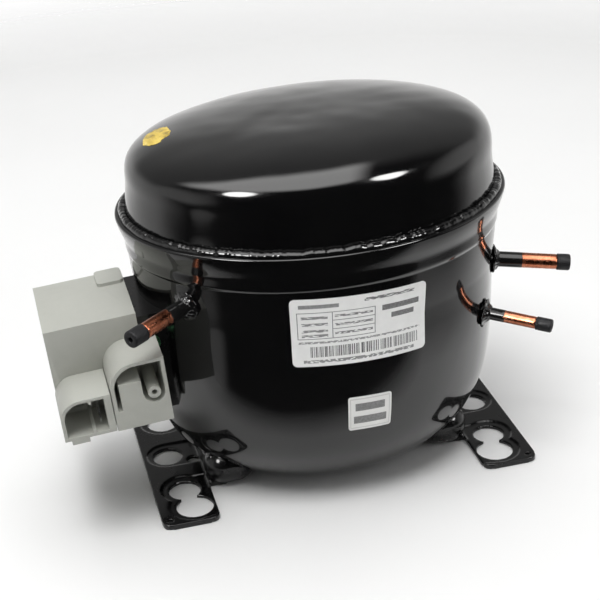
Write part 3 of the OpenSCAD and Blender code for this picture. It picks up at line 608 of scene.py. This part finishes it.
TUBES = [
    ("suction", (91.3, -20.8, 101.3), -17.2, 4.6, 8.0, 34.2, 7.0, 16.0, 7.6, 21),
    ("discharge", (79.7, -41.2, 81.4), -36.5, 4.6, 6.35, 27.6, 8.4, 11.0, 7.6, 33),
    ("process", (-76.4, -46.7, 115.6), -140.3, 0.0, 8.0, 32.0, 9.2, 15.0, 7.4, 47),
]
for name, p, az, drop, dia, end, head, painted, disc, seed in TUBES:
    fr = axis_frame(p, az, drop)
    R = dia / 2
    wall = 0.8

    def dent(l, a, r, seed=seed):
        return 0.035 * noise.noise(Vector((l / 9.0, math.cos(a) * 1.2, math.sin(a) * 1.2 + seed)))

    prof = [(-11, R)] + [(l, R + 0.10) for l in np.arange(-2, painted - 0.6, 0.8)]
    prof += [(painted - 0.2, R + 0.07), (painted + 0.5, R)] + [(l, R) for l in np.arange(painted + 1.3, end - 1.4, 0.8)]
    prof += [(end - 0.7, R - 0.02), (end - 0.3, R - 0.1), (end - 0.05, R - 0.3), (end, R - wall / 2), (end - 0.1, R - wall + 0.05), (end - 0.6, R - wall), (-11, R - wall)]
    rows, ax = lathe(fr, prof, 72, dent)
    v, f = rings(rows, closed=True)
    tube_mat = copper_tube_paint("copper_and_paint_" + name, painted)
    make(name + "_tube_drawn", v, f, tube_mat, "casing", [name + "_tube"], smooth=50, attrs={"axial": ("POINT", ax)})

    def braze(l, a, r, seed=seed, R=R):
        k = 1.0 if r > R + 2.2 else 0.7
        e = noise.noise(Vector((math.cos(a) * 1.6 + seed, math.sin(a) * 1.6, l * 0.25)))
        g = noise.noise(Vector((math.cos(a) * 4.6, math.sin(a) * 4.6 + seed, l * 0.9)))
        h = noise.noise(Vector((math.cos(a) * 9.5, math.sin(a) * 9.5 - seed, l * 1.7)))
        return k * (0.8 * e + 0.75 * g + 0.4 * h) if l > -3.2 and r > R + 0.25 else 0

    prof = [(-3.5, R + 0.02), (-3.5, R + 1.5), (-1.2, R + 1.7), (0.05, R + 2.2), (0.45, disc - 0.9), (0.5, disc - 0.25), (0.75, disc), (1.0, disc - 0.15),
            (1.25, disc - 0.8), (1.45, R + 3.0), (1.9, R + 2.0), (2.5, R + 1.35), (3.0, R + 0.9), (3.4, R + 0.45), (3.8, R + 0.16), (3.85, R + 0.02)]
    prof = [prof[0]] + smooth_curve(prof[1:], 3)
    rows, ax = lathe(fr, [(q[0], q[1]) for q in prof], 96, braze)
    v, f = rings(rows, closed=True)
    make(name + "_collar_brazed", v, f, bead_paint, "casing", [name + "_collar"], smooth=60)

    ri, ro = R - 0.86, R + 0.35
    L = end + head
    hole = 1.35
    prof = [(end - 8, 0.001), (end - 8, ri - 0.5), (end - 7.6, ri), (end - 0.1, ri), (end + 0.05, ri + 0.1), (end + 0.05, ro - 0.3), (end + 0.3, ro),
            (end + 1.0, ro), (end + 1.15, ro - 0.14), (end + 1.3, ro - 0.14), (end + 1.45, ro),
            (L - 1.0, ro), (L - 0.45, ro - 0.12), (L - 0.12, ro - 0.45), (L, ro - 0.9), (L + 0.02, hole + 0.8), (L - 0.05, hole + 0.35), (L - 0.3, hole), (L - 4.3, hole - 0.05), (L - 4.5, hole - 0.4), (L - 4.5, 0.001)]

    def soft(l, a, r, seed=seed):
        return 0.05 * noise.noise(Vector((math.cos(a) * 2 + seed, math.sin(a) * 2, l / 3)))

    rows, ax = lathe(fr, prof, 56, soft)
    p0, d0 = fr[0], fr[1]
    v, f = rings(rows, cap_start=(p0 + d0 * (end - 8)) * MM, cap_end=(p0 + d0 * (L - 4.5)) * MM)
    make(name + "_plug_moulded", v, f, rubber, name + "_cap", [name + "_plug"], smooth=40)

# ---------------------------------------------------------------- springs, leads and loop as round wires swept along their paths


def bar(name, path, r, m, mat, node):
    path = [np.asarray(q, float) for q in path]
    k = len(path)
    t0 = path[1] - path[0]
    t0 /= np.linalg.norm(t0)
    u = np.cross(t0, [0.31, 0.17, 0.93])
    u /= np.linalg.norm(u)
    rows = []
    for i in range(k):
        t = path[min(i + 1, k - 1)] - path[max(i - 1, 0)]
        t /= np.linalg.norm(t)
        u = u - t * np.dot(u, t)
        u /= np.linalg.norm(u)
        w = np.cross(t, u)
        e = 0.72 if i in (0, k - 1) else 1.0
        rows.append([(path[i] + r * e * (u * math.cos(a) + w * math.sin(a))) * MM for a in np.linspace(0, 2 * np.pi, m, endpoint=False)])
    v, f = rings(rows, cap_start=path[0] * MM, cap_end=path[-1] * MM)
    ob = make(name, v, f, mat, None, [node], smooth=50)
    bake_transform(ob)
    return ob


for k, (sx, sy) in enumerate(((38, 38), (-38, 38), (-38, -38), (38, -38))):
    path = []
    for i in range(0, 66 * 3 + 1):
        q = i / 3
        a = math.radians(q * 30)
        h = 1.9 * q / 12 if q <= 12 else 20.7 + 1.9 * (q - 54) / 12 if q >= 54 else 1.9 + 18.8 * (q - 12) / 42
        path.append((sx + 6.4 * math.cos(a), sy + 6.4 * math.sin(a), 14.15 + h))
    bar("suspension_spring_%d" % (k + 1), path, 0.88, 12, steel_spring, "suspension_springs")
for k, dy in enumerate((-5, 0, 5)):
    path = smooth_curve([(-78.05, -10 + dy, 80), (-70, -10 + dy, 81), (-61, -10 + dy, 92), (-56, -10 + dy, 100), (-46.4, -10 + dy, 99)], 10)
    bar("motor_lead_%d" % (k + 1), path, 1.15, 14, leads, "motor_leads")
path = smooth_curve([(38, 34, 138), (38.5, 34.5, 148), (50, 40, 148), (60, 38, 128), (67, 30, 106), (68, 12, 98), (62, -6, 96), (58.5, -20, 91), (62.5, -28.5, 84.6), (68.4, -32.9, 82.5)], 8)
bar("shock_loop_tube", path, 2.3, 18, copper, "shock_loop")

# ---------------------------------------------------------------- electrical mouldings: softened edges


def softened(node, name, width, body="electrical_box"):
    ob = copy_mesh(node, name)
    bm = bmesh.new()
    bm.from_mesh(ob.data)
    bmesh.ops.remove_doubles(bm, verts=bm.verts, dist=1e-6)
    bmesh.ops.dissolve_limit(bm, angle_limit=math.radians(0.8), verts=bm.verts, edges=bm.edges)
    bm.to_mesh(ob.data)
    bm.free()
    b = ob.modifiers.new("edge", "BEVEL")
    b.width = width * MM
    b.segments = 3
    b.limit_method = "ANGLE"
    b.angle_limit = math.radians(32)
    b.use_clamp_overlap = True
    b.harden_normals = False
    apply_mods(ob)
    ob.data.materials.clear()
    ob.data.materials.append(grey_plastic.m)
    finish_piece(ob, body, [node], 35)
    return ob


softened("electrical_cover", "electrical_cover_moulded", 1.1)
softened("relay_housing", "relay_housing_moulded", 0.45)
softened("connector_housing", "connector_housing_moulded", 0.45)

# ---------------------------------------------------------------- labels and paint dab


def label_mesh(name, t0, t1, z0, z1, nu, nv, r, lean, mat, node):
    """Rounded paper label wrapped on the wall; lean shifts the lower edge's height along its width."""
    tm = (t0 + t1) / 2
    width = (t1 - t0) * np.hypot(SHELL_A * math.sin(tm), SHELL_B * math.cos(tm))
    depth = z1 - z0
    vs = [r - r * math.cos(a) for a in np.linspace(0, np.pi / 2, 7)]
    vs = vs + list(np.linspace(r, depth - r, nv)[1:-1]) + [depth - x for x in vs[::-1]]
    grid, uv = [], []
    for dv in vs:
        e = min(dv, depth - dv)
        inset = r - math.sqrt(max(r * r - (r - e) ** 2, 0)) if e < r else 0
        row = []
        for i in range(nu + 1):
            du = inset + (width - 2 * inset) * i / nu
            t = t0 + (t1 - t0) * du / width
            z = z0 + dv + lean * (du / width - 0.5)
            row.append((t, z, du / width, dv / depth))
        grid.append(row)
    verts, faces, uvs = [], [], []
    m = nu + 1
    for o in (0.30, 0.04):
        for row in grid:
            for t, z, a, b in row:
                lift = 0.05 * wobble((t * 90, z, 0), 14, 2.2) if o > 0.1 else 0
                verts.append(side_pt(t, z, o + lift) * MM)
                uvs.append((a, b))
    k = len(grid)
    for j in range(k - 1):
        for i in range(nu):
            a = j * m + i
            faces.append((a, a + 1, a + m + 1, a + m))
            b = k * m + a
            faces.append((b, b + m, b + m + 1, b + 1))
    edge = [i for i in range(m)] + [j * m + nu for j in range(1, k)] + [(k - 1) * m + i for i in range(nu - 1, -1, -1)] + [j * m for j in range(k - 2, 0, -1)]
    for q in range(len(edge)):
        a, b = edge[q], edge[(q + 1) % len(edge)]
        faces.append((a, k * m + a, k * m + b, b))
    ob = make(name, verts, faces, mat, "casing", [node], smooth=30)
    layer = ob.data.uv_layers.new(name="UVMap")
    for lp in ob.data.loops:
        layer.data[lp.index].uv = uvs[lp.vertex_index]
    return ob


def label_material(name, blocks, tint=(0.90, 0.90, 0.89)):
    """White film printed with plain bars, dashes and stripes in place of any wording."""
    m = Mat(name).set(Specular_IOR_Level=0.5)
    uv = m.t.nodes.new("ShaderNodeUVMap").outputs[0]
    sep = m.t.nodes.new("ShaderNodeSeparateXYZ")
    m.t.links.new(uv, sep.inputs[0])
    U, V = sep.outputs[0], sep.outputs[1]

    def inside(u0, u1, v0, v1):
        a = m.math("MULTIPLY", m.math("GREATER_THAN", U, u0), m.math("LESS_THAN", U, u1))
        b = m.math("MULTIPLY", m.math("GREATER_THAN", V, v0), m.math("LESS_THAN", V, v1))
        return m.math("MULTIPLY", a, b)

    total = None
    for kind, u0, u1, v0, v1, period, ink in blocks:
        mask = inside(u0, u1, v0, v1)
        if kind == "dash":
            n = m.t.nodes.new("ShaderNodeTexNoise")
            n.inputs["Scale"].default_value = 1.0
            n.inputs["Detail"].default_value = 0
            m.t.links.new(m.stretch(period, 37.0 * (v0 + 1.3), 1, co=uv), n.inputs["Vector"])
            mask = m.math("MULTIPLY", mask, m.math("GREATER_THAN", n.outputs["Fac"], 0.42))
        elif kind == "stripe":
            n = m.t.nodes.new("ShaderNodeTexNoise")
            n.inputs["Scale"].default_value = 1.0
            n.inputs["Detail"].default_value = 1
            m.t.links.new(m.stretch(period, 0.001, 1, co=uv), n.inputs["Vector"])
            mask = m.math("MULTIPLY", mask, m.math("GREATER_THAN", n.outputs["Fac"], 0.5))
        elif kind == "frame":
            e = period
            hollow = inside(u0 + e, u1 - e, v0 + e * 1.6, v1 - e * 1.6)
            mask = m.math("SUBTRACT", mask, hollow)
        mask = m.math("MULTIPLY", mask, ink)
        total = mask if total is None else m.math("MAXIMUM", total, mask)
    paper = m.ramp(m.noise(140, 4, 0.6), [(0.3, scaled(tint, 0.95)), (0.7, scaled(tint, 1.03))])
    fade = m.grey(m.noise(900, 3, 0.6), [(0.3, 0.86), (0.6, 1.0)])
    total = m.math("MULTIPLY", total, fade)
    m.link(m.mix(total, paper, (0.035, 0.035, 0.04)), "Base Color")
    m.link(m.grey(m.noise(120, 3, 0.6), [(0.3, 0.32), (0.7, 0.46)]), "Roughness")
    m.bump(m.noise(500, 3, 0.5), 0.06, 0.00005)
    return m


big = [("bar", 0.06, 0.34, 0.86, 0.915, 0, 0.75)]
big += [("dash", 0.52, 0.90, 0.90, 0.945, 26, 0.85)]
big += [("frame", 0.045, 0.60, 0.40, 0.80, 0.006, 0.8), ("bar", 0.29, 0.60, 0.535, 0.545, 0, 0.8), ("bar", 0.29, 0.60, 0.665, 0.675, 0, 0.8), ("bar", 0.29, 0.296, 0.40, 0.80, 0, 0.8)]
big += [("dash", 0.31, 0.58, v0, v0 + 0.035, 34, 0.8) for v0 in (0.585, 0.455, 0.715)]
big += [("dash", 0.075, 0.26, v0, v0 + 0.04, 22, 0.75) for v0 in (0.70, 0.60, 0.50, 0.43)]
big += [("bar", 0.65, 0.94, 0.71, 0.79, 0, 0.85), ("bar", 0.72, 0.90, 0.58, 0.655, 0, 0.85)]
big += [("dash", 0.05, 0.95, 0.335, 0.365, 60, 0.7), ("stripe", 0.13, 0.93, 0.135, 0.29, 130, 0.95), ("dash", 0.08, 0.90, 0.05, 0.095, 40, 0.75)]
small = [("frame", 0.04, 0.96, 0.05, 0.95, 0.02, 0.25), ("bar", 0.16, 0.84, 0.58, 0.80, 0, 0.8), ("bar", 0.12, 0.88, 0.20, 0.42, 0, 0.8)]
label_mesh("rating_label_film", math.radians(-109.1), math.radians(-67.1), 85.0, 122.4, 72, 26, 2.6, -1.9, label_material("rating_label_print", big), "rating_label")
label_mesh("type_label_film", math.radians(-93.0), math.radians(-79.05), 44.8, 64.9, 30, 14, 1.4, -0.9, label_material("type_label_print", small, (0.84, 0.84, 0.82)), "type_label")

dab = Mat("paint_dab_yellow").set(Specular_IOR_Level=0.5)
streak = dab.noise(240, 4, 0.6, co=dab.stretch(1, 0.22, 1))
thin = dab.grey(dab.noise(160, 4, 0.65), [(0.36, 0.0), (0.5, 1.0)])
col = dab.ramp(streak, [(0.3, (0.50, 0.35, 0.05)), (0.55, (0.70, 0.52, 0.10)), (0.8, (0.82, 0.70, 0.30))])
dab.link(dab.mix(thin, (0.20, 0.14, 0.03), col), "Base Color")
dab.link(dab.grey(dab.noise(300, 3, 0.6), [(0.3, 0.3), (0.7, 0.5)]), "Roughness")
dab.bump(streak, 0.35, 0.0001)
verts, faces = [], []
NA, NR = 72, 9
tc, pc = math.radians(168.4), math.radians(43.8)
for o in (0.22, 0.03):
    verts.append(dome_pt(tc, pc, o) * MM)
    for k in range(1, NR + 1):
        for i in range(NA):
            a = 2 * np.pi * i / NA
            e = 1 + 0.22 * noise.noise(Vector((math.cos(a) * 1.7, math.sin(a) * 1.7, 4.0))) + 0.10 * noise.noise(Vector((math.cos(a) * 6, math.sin(a) * 6, 9.0)))
            rr = k / NR * e
            oo = o * (1.0 if k < NR - 1 or o < 0.1 else 0.75)
            verts.append(dome_pt(tc + math.radians(10.4) * rr * math.cos(a), pc + math.radians(9.6) * rr * math.sin(a), oo + 0.04 * wobble((a, rr * 3, 0), 1)) * MM)
half = 1 + NA * NR
for h in range(2):
    b = h * half
    for i in range(NA):
        faces.append((b, b + 1 + i, b + 1 + (i + 1) % NA))
        for k in range(NR - 1):
            q, r = b + 1 + k * NA, b + 1 + (k + 1) * NA
            faces.append((q + i, r + i, r + (i + 1) % NA, q + (i + 1) % NA))
for i in range(NA):
    q = 1 + (NR - 1) * NA
    faces.append((q + i, half + q + i, half + q + (i + 1) % NA, q + (i + 1) % NA))
make("paint_mark_dab", verts, faces, dab, "casing", ["paint_mark"], smooth=60)

# ---------------------------------------------------------------- camera

az, el, roll, focal, C = 0.22849, 0.46944, 0.05499, 1460.79, np.array([-166.143, -675.933, 433.221 + 3.0])
d = np.array([math.sin(az) * math.cos(el), math.cos(az) * math.cos(el), -math.sin(el)])
r = np.array([math.cos(az), -math.sin(az), 0.0])
u = np.cross(r, d)
r2 = math.cos(roll) * r - math.sin(roll) * u
u2 = math.sin(roll) * r + math.cos(roll) * u
cam_data = bpy.data.cameras.new("camera")
cam = bpy.data.objects.new("camera", cam_data)
scene.collection.objects.link(cam)
M = Matrix.Identity(4)
for i in range(3):
    M[i][0], M[i][1], M[i][2], M[i][3] = r2[i], u2[i], -d[i], C[i] * MM
cam.matrix_world = M
cam_data.sensor_width = 36
cam_data.lens = focal * 36 / 600
cam_data.clip_start = 0.01
cam_data.clip_end = 20
scene.camera = cam

# ---------------------------------------------------------------- floor and light

floor_mat = Mat("studio_floor").set(Roughness=0.6, Specular_IOR_Level=0.15)
floor_mat.link(floor_mat.ramp(floor_mat.noise(6, 3, 0.5), [(0.3, (0.84, 0.84, 0.835)), (0.7, (0.86, 0.86, 0.855))]), "Base Color")
dist = floor_mat.t.nodes.new("ShaderNodeVectorMath")
dist.operation = "LENGTH"
floor_mat.t.links.new(floor_mat.stretch(1, 1, 1), dist.inputs[0])
clear = floor_mat.t.nodes.new("ShaderNodeBsdfTransparent")
mixs = floor_mat.t.nodes.new("ShaderNodeMixShader")
fade = floor_mat.grey(dist.outputs["Value"], [(0.75, 0.0), (1.0, 1.0)])
# the paper sweep ends a little way in front of the object, so the glossy wall mirrors the dark room beyond it
front = floor_mat.t.nodes.new("ShaderNodeVectorMath")
front.operation = "DOT_PRODUCT"
floor_mat.t.links.new(floor_mat.co, front.inputs[0])
front.inputs[1].default_value = (-0.2265, -0.974, 0)
edge = floor_mat.grey(front.outputs["Value"], [(0.105, 0.0), (0.15, 1.0)])
gl = floor_mat.t.nodes.new("ShaderNodeLightPath")
around = floor_mat.grey(dist.outputs["Value"], [(0.19, 0.0), (0.31, 1.0)])
edge = floor_mat.math("MAXIMUM", edge, around)
edge = floor_mat.math("MULTIPLY", edge, gl.outputs["Is Glossy Ray"])
fade = floor_mat.math("MAXIMUM", fade, edge)
floor_mat.t.links.new(fade, mixs.inputs[0])
floor_mat.t.links.new(floor_mat.b.outputs[0], mixs.inputs[1])
floor_mat.t.links.new(clear.outputs[0], mixs.inputs[2])
out = next(n for n in floor_mat.t.nodes if n.type == "OUTPUT_MATERIAL")
floor_mat.t.links.new(mixs.outputs[0], out.inputs["Surface"])
fme = bpy.data.meshes.new("floor")
S = 1.6
fme.from_pydata([(-S, -S, 0), (S, -S, 0), (S, S, 0), (-S, S, 0)], [], [(0, 1, 2, 3)])
floor = bpy.data.objects.new("floor", fme)
scene.collection.objects.link(floor)
fme.materials.append(floor_mat.m)
floor.location = (0, 0, -0.0001)

world = bpy.data.worlds.new("studio")
scene.world = world
world.use_nodes = True
wt = world.node_tree
wt.nodes.clear()


def wmath(op, a, b=0.0, clamp=False):
    n = wt.nodes.new("ShaderNodeMath")
    n.operation = op
    n.use_clamp = clamp
    for i, v in enumerate((a, b)):
        if isinstance(v, bpy.types.NodeSocket):
            wt.links.new(v, n.inputs[i])
        else:
            n.inputs[i].default_value = v
    return n.outputs[0]


def step(x, lo, hi):
    n = wt.nodes.new("ShaderNodeMapRange")
    n.interpolation_type = "SMOOTHSTEP"
    n.clamp = True
    wt.links.new(x, n.inputs["Value"])
    n.inputs["From Min"].default_value = lo
    n.inputs["From Max"].default_value = hi
    return n.outputs["Result"]


tc_w = wt.nodes.new("ShaderNodeTexCoord")
sepw = wt.nodes.new("ShaderNodeSeparateXYZ")
wt.links.new(tc_w.outputs["Generated"], sepw.inputs[0])
X, Y, Z = sepw.outputs


def blob(direction, inner, outer_, level):
    """A soft round patch of light round one direction of the world."""
    dn = np.array(direction, float)
    dn /= np.linalg.norm(dn)
    dot = wmath("ADD", wmath("ADD", wmath("MULTIPLY", X, float(dn[0])), wmath("MULTIPLY", Y, float(dn[1]))), wmath("MULTIPLY", Z, float(dn[2])))
    return wmath("MULTIPLY", step(dot, math.cos(math.radians(outer_)), math.cos(math.radians(inner))), level)


# what glossy surfaces see: bright walls behind and beside, a dark room in front, soft boxes above
back = wmath("MULTIPLY", step(Y, -0.25, 0.35), wmath("ADD", 0.26, wmath("MULTIPLY", wmath("SUBTRACT", 1.0, step(Z, 0.05, 0.42)), 0.5)))
front_top = wmath("MULTIPLY", wmath("MULTIPLY", step(Z, 0.60, 0.78), step(wmath("MULTIPLY", Y, -1.0), -0.3, 0.0)), wmath("MULTIPLY", step(wmath("MULTIPLY", X, -1.0), -0.42, -0.2), 3.8))
sides = wmath("MULTIPLY", wmath("MULTIPLY", step(wmath("ABSOLUTE", X), 0.80, 0.97), step(Z, -0.30, -0.05)), 0.7)
left_band = blob((-0.83, -0.33, -0.45), 4, 11, 0.5)
spot1 = blob((-0.62, -0.55, 0.55), 7, 11, 22)
spot2 = blob((0.55, -0.62, 0.55), 7, 11, 20)
env = wmath("ADD", wmath("ADD", wmath("MAXIMUM", back, sides), front_top), wmath("ADD", wmath("ADD", wmath("ADD", spot1, spot2), left_band), 0.02))
bg_gloss = wt.nodes.new("ShaderNodeBackground")
wt.links.new(env, bg_gloss.inputs["Strength"])
bg_gloss.inputs["Color"].default_value = (1.0, 0.995, 0.985, 1)
bg_soft = wt.nodes.new("ShaderNodeBackground")
bg_soft.inputs["Color"].default_value = (1, 1, 1, 1)
bg_soft.inputs["Strength"].default_value = 0.22
bg_cam = wt.nodes.new("ShaderNodeBackground")
bg_cam.inputs["Color"].default_value = (1, 1, 1, 1)
bg_cam.inputs["Strength"].default_value = 1.0
path = wt.nodes.new("ShaderNodeLightPath")
m1 = wt.nodes.new("ShaderNodeMixShader")
m2 = wt.nodes.new("ShaderNodeMixShader")
wt.links.new(path.outputs["Is Glossy Ray"], m1.inputs[0])
wt.links.new(bg_soft.outputs[0], m1.inputs[1])
wt.links.new(bg_gloss.outputs[0], m1.inputs[2])
wt.links.new(path.outputs["Is Camera Ray"], m2.inputs[0])
wt.links.new(m1.outputs[0], m2.inputs[1])
wt.links.new(bg_cam.outputs[0], m2.inputs[2])
wo = wt.nodes.new("ShaderNodeOutputWorld")
wt.links.new(m2.outputs[0], wo.inputs["Surface"])


def area(name, at, target, size, power, size_y=None, glossy=False):
    li = bpy.data.lights.new(name, "AREA")
    li.energy = power
    li.size = size
    if size_y:
        li.shape = "RECTANGLE"
        li.size_y = size_y
    ob = bpy.data.objects.new(name, li)
    scene.collection.objects.link(ob)
    ob.location = at
    ob.rotation_euler = (Vector(target) - Vector(at)).to_track_quat("-Z", "Y").to_euler()
    ob.visible_glossy = glossy
    return ob


area("key", (-0.45, -0.45, 1.7), (0, 0, 0.08), 0.8, 18)
area("fill", (1.1, -0.9, 0.8), (0, 0, 0.08), 1.0, 2.5)
area("top", (0.1, 0.3, 1.7), (0, 0, 0), 1.5, 19)
